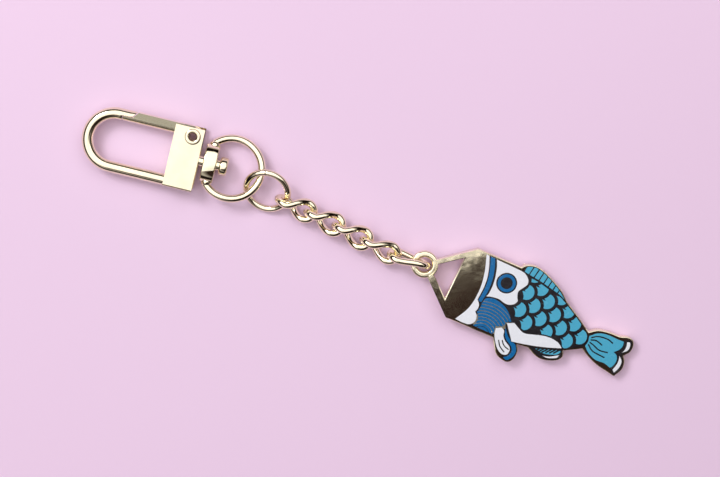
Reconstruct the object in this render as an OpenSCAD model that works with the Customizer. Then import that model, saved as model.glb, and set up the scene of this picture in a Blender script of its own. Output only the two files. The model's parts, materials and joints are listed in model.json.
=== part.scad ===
// Carp streamer charm on a swivel snap clasp, all sizes in millimetres.
// The clasp lies along X with its bow at the left. Everything lies face up on the plane z = 0.

/* [Clasp] */
// Width of the bow over the outside of the wire
hook_width = 11.8; // [8:0.1:18]
// Diameter of the hook's wire
hook_wire = 2.1; // [1.4:0.1:3]
// Centre of the bow to the near edge of the housing
hook_reach = 10.2; // [7:0.1:16]
// Length of the housing along the clasp
housing_length = 5.3; // [5:0.1:8]
// Thickness of the housing over both plates
housing_thickness = 3.6; // [3:0.1:5]
// Sheet thickness of the housing
sheet = 0.45; // [0.3:0.05:0.8]
// Width and thickness of the gate
gate_size = 2; // [1.4:0.1:2.6]

/* [Swivel] */
// Diameter of the stem
stem_diameter = 1.9; // [1.4:0.1:2.6]
// Diameter of the stem's round head
head_diameter = 3.4; // [2.6:0.1:4.6]
// Length of the eye's collar
collar_length = 2.4; // [1.6:0.1:4]
// Width of the collar across the clasp
collar_width = 7; // [5:0.1:9]
// Outside diameter of the swivel eye
eye_outer = 12.26; // [9:0.1:18]
// Wire diameter of the swivel eye
eye_wire = 1.4; // [1:0.05:2]

/* [Jump ring and chain] */
// Outside diameter of the jump ring
ring_outer = 8.94; // [7:0.1:14]
// Wire diameter of the jump ring
ring_wire = 1.2; // [0.8:0.05:1.8]
// Outside length of a curb link
link_length = 8.35; // [7:0.05:12]
// Outside width of a curb link
link_width = 4.7; // [4.2:0.05:6.5]
// Wire diameter of a curb link
link_wire = 1.3; // [0.8:0.05:1.6]

/* [Charm] */
// Length of the charm from the rim of its loop to the tips of the tail
charm_length = 43.65; // [30:0.5:70]
// Thickness of the plate
charm_thickness = 1.9; // [1.4:0.1:3]
// Depth of the enamel
enamel_depth = 0.5; // [0.2:0.05:1]
// Diameter of the hole in the loop
loop_hole = 2.7; // [2:0.1:4]
// Outside diameter of the loop
loop_outer = 5; // [4:0.1:7]
// Thickness of the loop
loop_thickness = 1.4; // [1:0.1:2]

/* [Clearances] */
// Radial clearance of the eye on the stem and of the gate on the rivet
running_clearance = 0.06; // [0.03:0.01:0.1]
// Gap between the lapped tip of the gate and the nose
lap_gap = 0.1; // [0.05:0.01:0.3]
// Gap between wires that hang in each other
wire_gap = 0.1; // [0.06:0.01:0.4]
// Gap between the gate's hub and the plates
hub_gap = 0.05; // [0.03:0.01:0.2]

/* [View] */
// Node to draw

/* [Hidden] */
gold = [0.87, 0.74, 0.5];
gold_dark = [0.72, 0.6, 0.4];
white = [0.92, 0.92, 0.97];
blue = [0.05, 0.4, 0.68];
teal = [0.3, 0.68, 0.8];
black = [0.1, 0.08, 0.11];
$fn = 64;

// Clasp
bow_radius = (hook_width - hook_wire) / 2;
housing_end = hook_reach + housing_length;
housing_width = hook_width - 0.3;
inner_half = housing_thickness / 2 - sheet;
nose_reach = 2.8;
tongue_reach = 0.6;
rivet_hole = 0.7;
rivet_radius = 1;
rivet_head = 1.45;
rivet_height = 0.3;
pivot = [housing_end - 1.9, bow_radius - 0.7];
hub_radius = 1.5;
spring_wire = 0.32;
spring_radius = rivet_radius + 0.1 + spring_wire / 2;
hub_top = inner_half - 2 * spring_wire - 0.16;
block_top = 1.6;
collar_start = housing_end + 0.9;
collar_thickness = collar_width * 0.63;
head_start = collar_start + collar_length + 0.55;
head_length = 1.5;

// Swivel eye: the collar's middle is a chord of the ring
eye_radius = (eye_outer - eye_wire) / 2;
eye_half_chord = collar_width / 2 + 0.2;
eye_centre = collar_start + collar_length / 2 + sqrt(pow(eye_radius, 2) - pow(eye_half_chord, 2));
eye_arc = 180 - asin(eye_half_chord / eye_radius);
eye_roll = 8;

// Jump ring: it is rolled about the chain's line so that it passes over the eye and back under it
ring_radius = (ring_outer - ring_wire) / 2;
ring_roll = asin(((eye_wire + ring_wire) / 2 + wire_gap) / (0.77 * ring_radius));
ring_heading = -13;
ring_bearing = -18.67;
ring_distance = eye_radius + ring_radius - (eye_wire + ring_wire) / 2 - 0.505;
lie = max(ring_radius * sin(ring_roll) + ring_wire / 2, link_width / 2,
  housing_thickness / 2 + rivet_height, collar_thickness / 2);
ring_centre = [eye_centre + ring_distance * cos(ring_bearing), ring_distance * sin(ring_bearing), lie];

// Chain: each link hangs in the one before, one wire and one gap back from its end
link_reach = link_length - link_wire;
link_side = (link_width - link_wire) / 2;
link_straight = link_reach / 2 - link_side;
link_heading = [-11, -12.1, -13.2, -14.3, -3.5];
link_roll = [100, 90, 90, 90, 108];
link_twist = [90, 90, 90, 75, 18];
contact = -9;
contact_radius = ring_radius - (ring_wire + link_wire) / 2 - 0.17;
chain_start = on_plane(ring_centre + roll_and_turn(
  [contact_radius * cos(contact), contact_radius * sin(contact), 0], ring_roll, ring_heading));
link_step = link_reach - link_wire - wire_gap;

// Charm: its loop lies round the last link's end and its tail touches the plane
loop_slack = (loop_hole - link_wire) / 2 - 0.15;
chain_end = link_at(4) + link_reach * along(link_heading[4]);
loop_centre = chain_end - loop_slack * along(link_heading[4]);
charm_heading = -11;
charm_scale = (charm_length - loop_outer / 2) / 41.15;
charm_tilt = asin((lie - charm_thickness / 2) / (charm_length - loop_outer / 2));
rim = 0.3;
wall = 0.11;
bite = 0.01;

function along(a) = [cos(a), sin(a), 0];
function on_plane(p) = [p[0], p[1], lie];
function roll_and_turn(p, roll, turn) = let (y = p[1] * cos(roll), z = p[1] * sin(roll))
  [p[0] * cos(turn) - y * sin(turn), p[0] * sin(turn) + y * cos(turn), z];
function link_at(i) = i == 0 ? chain_start : link_at(i - 1) + link_step * along(link_heading[i - 1]);

// A closed curve through points. A point with a third value is a corner, and two corners join straight.
function ahead(p, i) = p[(i + 1) % len(p)];
function flat(v) = [v[0], v[1]];
function before(p, i) = p[i][2] == 1 ? 2 * flat(p[i]) - flat(ahead(p,
  i)) : flat(p[(i + len(p) - 1) % len(p)]);
function after(p, i) = ahead(p, i)[2] == 1 ? 2 * flat(ahead(p, i)) - flat(p[i]) : flat(ahead(p, i + 1));
function spline(a, b, c, d, t) = (2 * b + (c - a) * t + (2 * a - 5 * b + 4 * c - d) * t * t
  + (3 * b - a - 3 * c + d) * t * t * t) / 2;
function curve(p, n = 4) = [for (i = [0 : len(p) - 1], k = [0 : p[i][2] == 1 && ahead(p,
  i)[2] == 1 ? 0 : n - 1])
  spline(before(p, i), flat(p[i]), flat(ahead(p, i)), after(p, i), k / n)];

// The same curve moved inwards by d, or outwards where d is negative
function unit(v) = v / norm(v);
function inward(a, b) = let (u = unit(b - a)) [u[1], -u[0]];
function inset(p, d) = [for (i = [0 : len(p) - 1])
  let (m = inward(p[(i + len(p) - 1) % len(p)], p[i]), n = inward(p[i], ahead(p, i)))
  p[i] + (m + n) * d / (1 + m * n)];

// A narrow line through points, drawn as a closed band
function open_curve(p, n = 4) = [for (i = [0 : len(p) - 2], k = [0 : (i == len(p) - 2 ? n : n - 1)])
  spline(i == 0 ? 2 * p[0] - p[1] : p[i - 1], p[i], p[i + 1],
    i == len(p) - 2 ? 2 * p[i + 1] - p[i] : p[i + 2], k / n)];
function side_of(q, i) = inward(q[max(0, i - 1)], q[min(len(q) - 1, i + 1)]);
function band(p, w) = let (q = open_curve(p), e = len(q) - 1)
  concat([for (i = [0 : e]) q[i] + side_of(q, i) * w / 2], [for (i = [e : -1 : 0]) q[i] - side_of(q,
    i) * w / 2]);

// Outlines of the charm, from the centre of its loop along its middle line
outline = [[1.55, 1.72, 1], [7.7, 6.75, 1], [16.15, 6.9, 1], [16.9, 7.7], [18.55, 8.2], [20.45, 7.9],
  [22.6, 7.05], [24.65, 6.05], [26.5, 4.6, 1], [29.55, 2.95], [32.55, 1.2, 1], [34, 2.25], [36.05, 2.7],
  [38.05, 2.8], [39.6, 3.3], [40.65, 3.1], [41.15, 2.2], [41.1, 0.95], [40.3, -0.2, 1], [40.95, -1.1],
  [41.15, -2.65], [40.35, -4.4, 1], [38.85, -4.15], [36.45, -3.75], [34.35, -3], [32.8, -2.15, 1],
  [29.8, -3.9, 1], [30.2, -5], [29.4, -6.1], [27.65, -6.85], [25.8, -6.95], [23.65, -6.05, 1],
  [21.6, -6.35, 1], [22.25, -7.45], [22.2, -9.05], [21.45, -10.05], [20.15, -10.05], [18.7, -9.4],
  [17, -7, 1], [7.6, -7.2, 1], [1.5, -1.9, 1]];
collar_line = [[9.35, 6.45, 1], [9.95, 6.4, 1], [10.75, 4.55], [11.35, 2.45], [11.52, 0.3], [11.42,
  -1.75, 1],
  [12.05, -2.45], [12.2, -3.3], [12, -3.95, 1], [12.6, -4.6], [12.75, -5.65], [12.1, -6.5], [10.9, -6.75],
  [9.25, -6.7, 1], [10.65, -3.75], [11, -0.4], [10.55, 2.9]];
band_line = [[10.2, 6.4, 1], [11.1, 6.4, 1], [11.8, 4.75], [12.38, 2.45], [12.5, 0.3], [12.25, -1.95, 1],
  [11.6, -1.8, 1], [11.75, 0.3], [11.55, 2.45], [10.95, 4.55]];
face_line = [[11.45, 6.35, 1], [16.25, 6.3], [17.5, 6], [18.3, 5.3], [18.5, 4.45], [18, 3.5], [17.55, 2.6],
  [17.85, 1.6], [18.2, 1], [17.9, 0.25], [17.05, -0.3], [16.1, -0.35], [15, -0.1], [13.65, -0.25],
  [12.6, -0.6, 1], [12.85, 0.3], [12.75, 2.5], [12.15, 4.85]];
gill_line = [[12.4, -2.2, 1], [12.75, -0.95], [14.15, -0.4], [15.95, -0.7], [17.3, -1.35], [18.65, -2.6, 1],
  [18.8, -2.95, 1], [18, -3.45, 1], [17.9, -4.3, 1], [16.55, -4.9, 1], [16.75, -6], [16.55, -6.45, 1],
  [12.75, -6.45, 1], [13.05, -5.4], [12.85, -4.55], [12.3, -3.85, 1], [12.5, -2.8]];
scale_line = [[18.45, 5.85, 1], [20.35, 5.7], [22.8, 5.2], [24.85, 4.9], [26.25, 4.3, 1], [29.8, 2.4],
  [32.2, 0.9, 1], [32.7, 0], [32.7, -1.4], [32.35, -2, 1], [31.1, -2.9], [29.65, -3.5, 1], [28.4, -2.75],
  [26.95, -2.45], [25.15, -2.65], [23.25, -3.35], [21.35, -3.4], [19.5, -2.75, 1], [18.85, -2.5],
  [18.05, -1.65], [17, -0.7, 1], [17.7, -0.25], [18.4, 0.7], [18.3, 1.6], [17.9, 2.5], [18.8, 3.85],
    [18.8, 5]];
dorsal_line = [[17, 6.45, 1], [17.1, 7.35], [17.9, 7.95], [19.15, 8], [20.95, 7.45], [22.95, 6.6],
  [24.65, 5.65],
  [25.95, 4.7, 1], [24.7, 5.2], [22.65, 5.6], [20.2, 6.05], [17.85, 6.3]];
belly_line = [[18.2, -3.5, 1], [19.4, -2.9, 1], [20.5, -3.45], [21.8, -3.9], [23.5, -3.45], [25.15, -2.9],
  [26.85, -2.7], [28.35, -2.95], [29.35, -3.6, 1], [27.2, -4.45], [24.7, -5.25], [22.15, -5.9], [20.4,
    -6.25, 1],
  [19.7, -5.35], [18.95, -4.45]];
pectoral_line = [[16.75, -5.2, 1], [17.65, -4.65, 1], [18.35, -5], [18.6, -5.85], [19.35, -6.65],
  [20.45, -7.25],
  [20.85, -8], [20.65, -8.85], [19.75, -9.1], [18.65, -8.55], [17.65, -7.4], [17, -6.3]];
strip_line = [[18.25, -4.2, 1], [18.95, -5.15], [19.9, -5.95], [21.3, -6.5], [21.95, -7.4], [21.9, -8.7],
  [21.1, -9.75], [20.25, -9.55, 1], [20.95, -8.95], [21.2, -7.9], [20.65, -7.05], [19.5, -6.4], [18.8,
    -5.65]];
anal_line = [[23.85, -5.9, 1], [29.5, -3.9, 1], [30, -4.85], [29.3, -5.9], [27.55, -6.6], [25.8, -6.6]];
hatch_line = [[24.9, -5.65, 1], [29.3, -4.1, 1], [29.4, -4.5], [28.95, -5.1], [27.3, -5.75], [26.1, -5.85]];
crescent_line = [[26.65, -6.3, 1], [27.9, -5.97], [29.5, -4.95, 1], [29.2, -5.65], [27.75, -6.32]];
tail_line = [[32.95, 0.55, 1], [34.25, 1.7], [35.95, 2.15], [37.85, 2.15], [39.2, 2.2, 1], [39.35,
  1.25], [39, 0.4],
  [38.35, -0.3, 1], [39.1, -0.65], [39.5, -1.55], [39.35, -2.7], [38.95, -3.25, 1], [37.65, -2.9],
    [35.95, -3],
  [34.25, -2.4], [33.05, -1.45, 1], [33.2, -0.5]];
edge_line = [[39.4, 2.65, 1], [40.5, 2.85], [40.95, 1.95], [40.85, 1], [39.9, -0.05, 1], [40.75, -1.15],
  [40.85, -2.6], [40.2, -4.15], [39.15, -3.45, 1], [39.55, -2.5], [39.7, -1.45], [38.9, -0.25, 1],
    [39.55, 0.5],
  [39.6, 1.4]];
upper_edge_line = [[39.75, 2.4, 1], [40.3, 2.5], [40.62, 1.8], [40.5, 0.95], [39.75, 0.2, 1], [40,
  0.85], [40, 1.65]];
lower_edge_line = [[39.6, -0.5, 1], [40.42, -1.25], [40.52, -2.55], [40.05, -3.75, 1], [39.6, -3.35, 1],
  [39.85, -2.3], [39.85, -1.35]];
pectoral_rays = [[[18.15, -6.95], [18.9, -7.95], [20.05, -8.6]], [[18.75, -6.7], [19.5, -7.5], [20.6,
  -7.85]]];
tail_rays = [[[33.4, 0.4], [34.5, 1.15], [36.25, 1.4], [37.5, 1.1]], [[33.5, 0], [34.55, 0.3], [35.85,
  -0.05]],
  [[33.5, -0.45], [34.5, -0.7], [35.8, -1.1], [37.4, -0.85]], [[33.45, -0.9], [34.75, -1.75], [37.25,
    -1.95]]];
eye_spot = [14.95, 3.15];
iris_radius = 1.66;
pupil_radius = 0.98;
eye_line = 0.25;
gill_spot = [14.65, -7.65];
gill_first = 1.75;
gill_step = 0.58;
gill_lines = 9;
scale_start = [18.98, 3.15];
scale_step = [2.06, 1.74];
scale_radius = 1.42;
scale_shadow = 2.04;

// The object's box is centred over the origin: its ends are the bow and the farthest points of the charm
function laid(p) = loop_centre + [p[0] * cos(charm_heading) - p[1] * sin(charm_heading),
  p[0] * sin(charm_heading) + p[1] * cos(charm_heading), 0] * charm_scale;
charm_x = [for (p = curve(outline)) laid([p[0] * cos(charm_tilt) + charm_thickness / 2 * sin(charm_tilt), p[1]])[0]];
charm_y = [for (p = curve(outline)) laid([p[0] * cos(charm_tilt), p[1]])[1]];
middle = [(max(charm_x) - hook_width / 2) / 2, (min(charm_y) + max(hook_width,
  eye_outer * cos(eye_roll)) / 2) / 2];
module stand() translate([-middle[0], -middle[1], 0]) children();

// ---- clasp ----
// A bar of the hook's wire along X
module bar(x0, x1, y) translate([x0, y, lie]) rotate([0, 90, 0]) cylinder(d = hook_wire, h = x1 - x0);

// The side the gate laps under: the inner half of the nose is cut back on a slant
module nose_cut() translate([0, 0, lie - hook_wire]) linear_extrude(2 * hook_wire)
  polygon([[tongue_reach - lap_gap, bow_radius - hook_wire], [nose_reach + 2, bow_radius - hook_wire],
    [nose_reach + 2, bow_radius + hook_wire], [nose_reach + 0.5, bow_radius + hook_wire / 2 + 0.2],
    [nose_reach - 0.55, bow_radius], [tongue_reach - lap_gap, bow_radius]]);

module hook_frame() color(gold) stand() {
  difference() {
    union() {
      translate([0, 0, lie]) rotate([0, 0, 90]) rotate_extrude(angle = 180) translate([bow_radius, 0])
        circle(d = hook_wire);
      bar(0, nose_reach + 1, bow_radius);
    }
    nose_cut();
  }
  bar(0, hook_reach, -bow_radius);
  difference() {
    translate([hook_reach, sheet - housing_width / 2, lie - inner_half])
      cube([housing_length - 0.2, housing_width / 2 + block_top - sheet, 2 * inner_half]);
    stem_bore(stem_diameter / 2);
    translate([hook_reach - bite, 0, lie - 2]) cube([1.1, 3, 4]);
  }
}

module stem_bore(r) translate([housing_end - 3.1, 0, lie]) rotate([0, 90, 0])
  cylinder(r = r, h = head_start - housing_end + 4);

module housing() color(gold) stand() difference() {
  translate([hook_reach, -housing_width / 2, lie - housing_thickness / 2])
    cube([housing_length, housing_width, housing_thickness]);
  translate([hook_reach - 1, sheet - housing_width / 2, lie - inner_half])
    cube([housing_length + 2, housing_width, 2 * inner_half]);
  translate([pivot[0], pivot[1], 0]) cylinder(r = rivet_radius, h = 3 * lie);
}

module gate_rivet() color(gold_dark) stand() translate([pivot[0], pivot[1], lie]) rotate_extrude() polygon([
  [rivet_hole, -housing_thickness / 2 - rivet_height], [rivet_head - 0.2,
    -housing_thickness / 2 - rivet_height],
  [rivet_head, -housing_thickness / 2 - 0.1], [rivet_head, -housing_thickness / 2],
  [rivet_radius, -housing_thickness / 2], [rivet_radius, housing_thickness / 2],
  [rivet_head, housing_thickness / 2], [rivet_head, housing_thickness / 2 + 0.1],
  [rivet_head - 0.2, housing_thickness / 2 + rivet_height], [rivet_hole,
    housing_thickness / 2 + rivet_height]]);

// One turn and a quarter round the rivet, one leg over the gate's heel and one down on the block
spring_pitch = spring_wire + 0.02;
spring_turn = 30;
spring_path = concat([[-1.7, spring_radius, 0]],
  [for (k = [0 : spring_turn]) let (a = 90 - 450 * k / spring_turn)
    [spring_radius * cos(a), spring_radius * sin(a), -1.25 * spring_pitch * k / spring_turn]],
  [[spring_radius, block_top - pivot[1], -1.25 * spring_pitch]]);

module gate_spring() color(gold_dark) stand() translate([pivot[0], pivot[1],
  lie + inner_half - 0.03 - spring_wire / 2])
  tube(spring_path, spring_wire / 2, 8);

// A round wire along an open path that never runs along Z
function path_way(p, k) = unit(p[min(k + 1, len(p) - 1)] - p[max(k - 1, 0)]);
function path_ring(p, k, r, s) = let (t = path_way(p, k), n = unit(cross(t, [0, 0, 1])), b = cross(t, n))
  [for (j = [0 : s - 1]) p[k] + r * (cos(360 * j / s) * n + sin(360 * j / s) * b)];
module tube(p, r, s) polyhedron(
  points = [for (k = [0 : len(p) - 1]) each path_ring(p, k, r, s)],
  faces = concat([[for (j = [0 : s - 1]) j]],
    [for (k = [0 : len(p) - 2], j = [0 : s - 1]) each
      [[k * s + j, (k + 1) * s + j, (k + 1) * s + (j + 1) % s], [k * s + j, (k + 1) * s + (j + 1) % s,
        k * s + (j + 1) % s]]],
    [[for (j = [s - 1 : -1 : 0]) (len(p) - 1) * s + j]]), convexity = 4);

module swivel_stem() color(gold) stand() translate([0, 0, lie]) rotate([0, 90, 0]) {
  translate([0, 0, housing_end - 3.1]) cylinder(d = stem_diameter, h = head_start - housing_end + 3.2);
  translate([0, 0, head_start]) rotate_extrude() head_half();
}

module head_half() {
  square([head_diameter / 2 - 0.35, head_length]);
  translate([0, 0.35]) square([head_diameter / 2, head_length - 0.7]);
  for (z = [0.35, head_length - 0.35]) translate([head_diameter / 2 - 0.35, z]) circle(r = 0.35);
}

// The lever: its inner edge is round, its outer edge square
module gate() color(gold_dark) stand() translate([0, 0, lie]) difference() {
  union() {
    translate([tongue_reach, gate_line, 0]) rotate([90, 0, 90]) linear_extrude(pivot[0] - tongue_reach)
      gate_section();
    translate([pivot[0], pivot[1], -inner_half + hub_gap]) cylinder(r = hub_radius, h = inner_half);
  }
  gate_lap();
  translate([pivot[0] - 1.9, gate_line - 2, hub_top]) cube([5, 6, 4]);
  translate([pivot[0], pivot[1], -5]) cylinder(r = rivet_radius + running_clearance, h = 10);
  translate([pivot[0], pivot[1] + 0.2 + hub_radius, -5]) cube([4, 4, 10]);
}

gate_line = bow_radius;

module gate_section() {
  circle(d = gate_size);
  translate([0, -gate_size / 2]) square([hook_wire / 2, gate_size]);
}

module gate_lap() translate([0, 0, -hook_wire]) linear_extrude(2 * hook_wire)
  polygon([[-1, bow_radius - lap_gap], [nose_reach - 0.55 + lap_gap, bow_radius - lap_gap],
    [nose_reach + 0.5 + lap_gap, bow_radius + hook_wire / 2 + 0.2], [nose_reach, bow_radius + 3], [-1,
      bow_radius + 3]]);

module swivel_eye() color(gold) stand() translate([0, 0, lie]) rotate([-eye_roll, 0, 0]) difference() {
  union() {
    translate([eye_centre, 0, 0]) rotate([0, 0, -eye_arc]) rotate_extrude(angle = 2 * eye_arc)
      translate([eye_radius, 0]) circle(d = eye_wire);
    translate([collar_start, 0, 0]) rotate([90, 0, 90]) linear_extrude(collar_length)
      polygon([for (a = [0 : 7.5 : 352.5]) [collar_width * cos(a), collar_thickness * sin(a)] / 2]);
    for (s = [-1, 1]) translate([collar_start + collar_length / 2 + 0.1, s * (collar_width / 2 - 0.15), 0])
      sphere(r = eye_wire * 0.68);
  }
  translate([collar_start - 2, 0, 0]) rotate([0, 90, 0])
    cylinder(d = stem_diameter + 2 * running_clearance, h = collar_length + 4);
}

// ---- chain ----
module jump_ring() color(gold) stand() translate(ring_centre) rotate([0, 0,
  ring_heading]) rotate([ring_roll, 0, 0])
  difference() {
    rotate_extrude() translate([ring_radius, 0]) circle(d = ring_wire);
    rotate([0, 0, 115]) translate([ring_radius, 0, 0]) cube([2 * ring_wire, 0.06, 2 * ring_wire],
      center = true);
  }

// The middle line of a link is a long oval whose plane twists from its near end to its far end
end_steps = 12;
side_steps = 11;
link_sides = 12;
link_rings = 2 * (end_steps + side_steps);
function oval(k) = let (e = end_steps, s = side_steps, c = link_straight)
  k < e ? [c + link_side * cos(90 - 180 * k / e), link_side * sin(90 - 180 * k / e)] :
  k < e + s ? [c - 2 * c * (k - e) / s, -link_side] :
  k < 2 * e + s ? [-c + link_side * cos(270 - 180 * (k - e - s) / e),
    link_side * sin(270 - 180 * (k - e - s) / e)] :
  [-c + 2 * c * (k - 2 * e - s) / s, link_side];
function eased(t) = t <= 0 ? 0 : t >= 1 ? 1 : 0.4 * t + 0.6 * t * t * (3 - 2 * t);
function plane_at(x, i) = link_roll[i] - link_twist[i] * eased((x + link_straight) / (2 * link_straight));
function mid(k, i) = let (p = oval(k % link_rings), a = plane_at(p[0], i)) [p[0], p[1] * cos(a),
  p[1] * sin(a)];
function across(k, i) = let (a = plane_at(oval(k)[0], i)) [0, -sin(a), cos(a)];
function ring_of(k, i) = let (t = unit(mid(k + 1, i) - mid(k + link_rings - 1, i)), n = unit(cross(t,
  across(k, i))),
  b = cross(t, n)) [for (j = [0 : link_sides - 1])
    mid(k, i) + link_wire / 2 * (cos(360 * j / link_sides) * n + sin(360 * j / link_sides) * b)];
function at(k, j) = (k % link_rings) * link_sides + j % link_sides;

module chain_link(i) color(gold) stand() translate(link_at(i)) rotate([0, 0, link_heading[i]])
  translate([link_reach / 2, 0, 0]) polyhedron(
    points = [for (k = [0 : link_rings - 1]) each ring_of(k, i)],
    faces = [for (k = [0 : link_rings - 1], j = [0 : link_sides - 1])
      each [[at(k, j), at(k + 1, j), at(k + 1, j + 1)], [at(k, j), at(k + 1, j + 1), at(k, j + 1)]]],
    convexity = 6);

module chain_link_1() chain_link(0);
module chain_link_2() chain_link(1);
module chain_link_3() chain_link(2);
module chain_link_4() chain_link(3);
module chain_link_5() chain_link(4);

// ---- charm ----
module in_charm() stand() translate(loop_centre) rotate([0, 0, charm_heading]) rotate([0, charm_tilt,
  0]) children();

module area(line) intersection() {
  polygon(curve(line));
  polygon(inset(curve(outline), rim));
}

module grown(line) polygon(inset(curve(line), -wall));

module rays(lines, w) for (p = lines) polygon(band(p, w));

module fill(line, tint) color(tint) in_charm()
  translate([0, 0, charm_thickness / 2 - enamel_depth]) linear_extrude(enamel_depth)
    scale([charm_scale, charm_scale]) children();

module face_2d() difference() {
  area(face_line);
  translate(eye_spot) circle(r = iris_radius + eye_line);
}

module iris_2d() translate(eye_spot) difference() {
  circle(r = iris_radius);
  circle(r = pupil_radius + wall);
}

module gill_2d() difference() {
  area(gill_line);
  translate(gill_spot) for (k = [0 : gill_lines - 1]) difference() {
    circle(r = gill_first + k * gill_step + 0.05);
    circle(r = gill_first + k * gill_step - 0.05);
  }
}

// Scales stand in a diagonal pattern, each cut by the shadows of the two before it
module at_scales() for (i = [0 : 6], j = [-2 : 1]) {
  s = [scale_start[0] + i * scale_step[0],
    scale_start[1] + (2 * j + (i % 2 == 0 ? 0 : -1)) * scale_step[1]];
  if (scale_seen(s)) translate(s) children();
}

function scale_seen(s) = s[0] < 30 ? s[1] < 7 - 0.22 * (s[0] - 18) && s[1] > -3.6 : s[1] > -1.5 && s[1] < 1;

module scale_cell(r) difference() {
  circle(r = r);
  for (s = [-1, 1]) translate([-scale_step[0], s * scale_step[1]]) circle(r = scale_shadow);
  polygon([[-1.4, 0.3], [-0.55, 0.24], [-0.2, 0.06], [-0.5, -0.04], [-1.4, 0.02]]);
}

module scales_2d() intersection() {
  area(scale_line);
  at_scales() scale_cell(scale_radius);
}

module scale_ground_2d() difference() {
  area(scale_line);
  at_scales() scale_cell(scale_radius + 0.08);
}

module dorsal_2d() difference() {
  area(dorsal_line);
  for (k = [0 : 6]) translate([18.1 + k * 1.02, 7 - 0.24 * k]) rotate([0, 0, -8]) square([0.22, 3],
    center = true);
}

module pectoral_2d() difference() {
  area(pectoral_line);
  rays(pectoral_rays, 0.2);
}

module strip_2d() difference() {
  area(strip_line);
  grown(belly_line);
}

module anal_2d() difference() {
  area(anal_line);
  grown(hatch_line);
  grown(crescent_line);
}

module hatch_2d() difference() {
  area(hatch_line);
  for (k = [0 : 5]) translate([25.6 + k * 0.68, -5.45 + k * 0.24]) rotate([0, 0, -38]) square([0.28,
    2.2], center = true);
}

module tail_2d() difference() {
  area(tail_line);
  rays(tail_rays, 0.24);
}

module edge_2d() difference() {
  area(edge_line);
  grown(tail_line);
  grown(upper_edge_line);
  grown(lower_edge_line);
}

module tail_white_2d() {
  area(upper_edge_line);
  area(lower_edge_line);
}

module pockets_2d() {
  area(collar_line);
  area(band_line);
  face_2d();
  iris_2d();
  translate(eye_spot) circle(r = pupil_radius);
  gill_2d();
  scales_2d();
  scale_ground_2d();
  dorsal_2d();
  area(belly_line);
  pectoral_2d();
  strip_2d();
  anal_2d();
  hatch_2d();
  area(crescent_line);
  tail_2d();
  edge_2d();
  tail_white_2d();
}

module cutout_2d() difference() {
  polygon([[6.05, 4.15], [6, -4.1], [1, 0.2]]);
  circle(d = loop_outer / charm_scale);
}

module charm_plate() color(gold) in_charm() difference() {
  union() {
    difference() {
      translate([0, 0, -charm_thickness / 2]) linear_extrude(charm_thickness) scale([charm_scale,
        charm_scale])
        difference() {
          polygon(curve(outline));
          cutout_2d();
        }
      translate([0, 0, -charm_thickness]) cylinder(d = loop_outer - 0.6, h = 2 * charm_thickness);
    }
    rotate_extrude() loop_section();
  }
  translate([0, 0, charm_thickness / 2 - enamel_depth]) linear_extrude(enamel_depth + 1)
    scale([charm_scale, charm_scale]) pockets_2d();
}

// The loop's section: flat faces with round edges
module loop_section() {
  a = loop_hole / 2;
  b = loop_outer / 2;
  r = min(0.4, (b - a) / 2 - 0.05);
  translate([a + r, -loop_thickness / 2]) square([b - a - 2 * r, loop_thickness]);
  translate([a, r - loop_thickness / 2]) square([b - a, loop_thickness - 2 * r]);
  for (x = [a + r, b - r], y = [r - loop_thickness / 2, loop_thickness / 2 - r]) translate([x,
    y]) circle(r = r);
}

module collar_white() fill(collar_line, white) area(collar_line);
module collar_blue() fill(band_line, blue) area(band_line);
module face_white() fill(face_line, white) face_2d();
module eye_blue() fill(face_line, blue) iris_2d();
module eye_pupil() fill(face_line, black) translate(eye_spot) circle(r = pupil_radius);
module gill_blue() fill(gill_line, blue) gill_2d();
module scale_ground() fill(scale_line, black) scale_ground_2d();
module scales_teal() fill(scale_line, teal) scales_2d();
module dorsal_fin() fill(dorsal_line, teal) dorsal_2d();
module belly_fin() fill(belly_line, white) area(belly_line);
module pectoral_white() fill(pectoral_line, white) pectoral_2d();
module pectoral_blue() fill(strip_line, blue) strip_2d();
module anal_ground() fill(anal_line, black) anal_2d();
module anal_teal() fill(hatch_line, teal) hatch_2d();
module anal_white() fill(crescent_line, white) area(crescent_line);
module tail_teal() fill(tail_line, teal) tail_2d();
module tail_ground() fill(edge_line, black) edge_2d();
module tail_white() fill(edge_line, white) tail_white_2d();

hook_frame();
housing();
gate_rivet();
gate_spring();
swivel_stem();
gate();
swivel_eye();
jump_ring();
chain_link_1();
chain_link_2();
chain_link_3();
chain_link_4();
chain_link_5();
charm_plate();
collar_white();
collar_blue();
face_white();
eye_blue();
eye_pupil();
gill_blue();
scale_ground();
scales_teal();
dorsal_fin();
belly_fin();
pectoral_white();
pectoral_blue();
anal_ground();
anal_teal();
anal_white();
tail_teal();
tail_ground();
tail_white();
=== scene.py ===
"""Enamelled carp streamer charm on a curb chain with a swivel snap clasp."""
import json
import math

import bpy
from mathutils import Matrix, Vector

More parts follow.
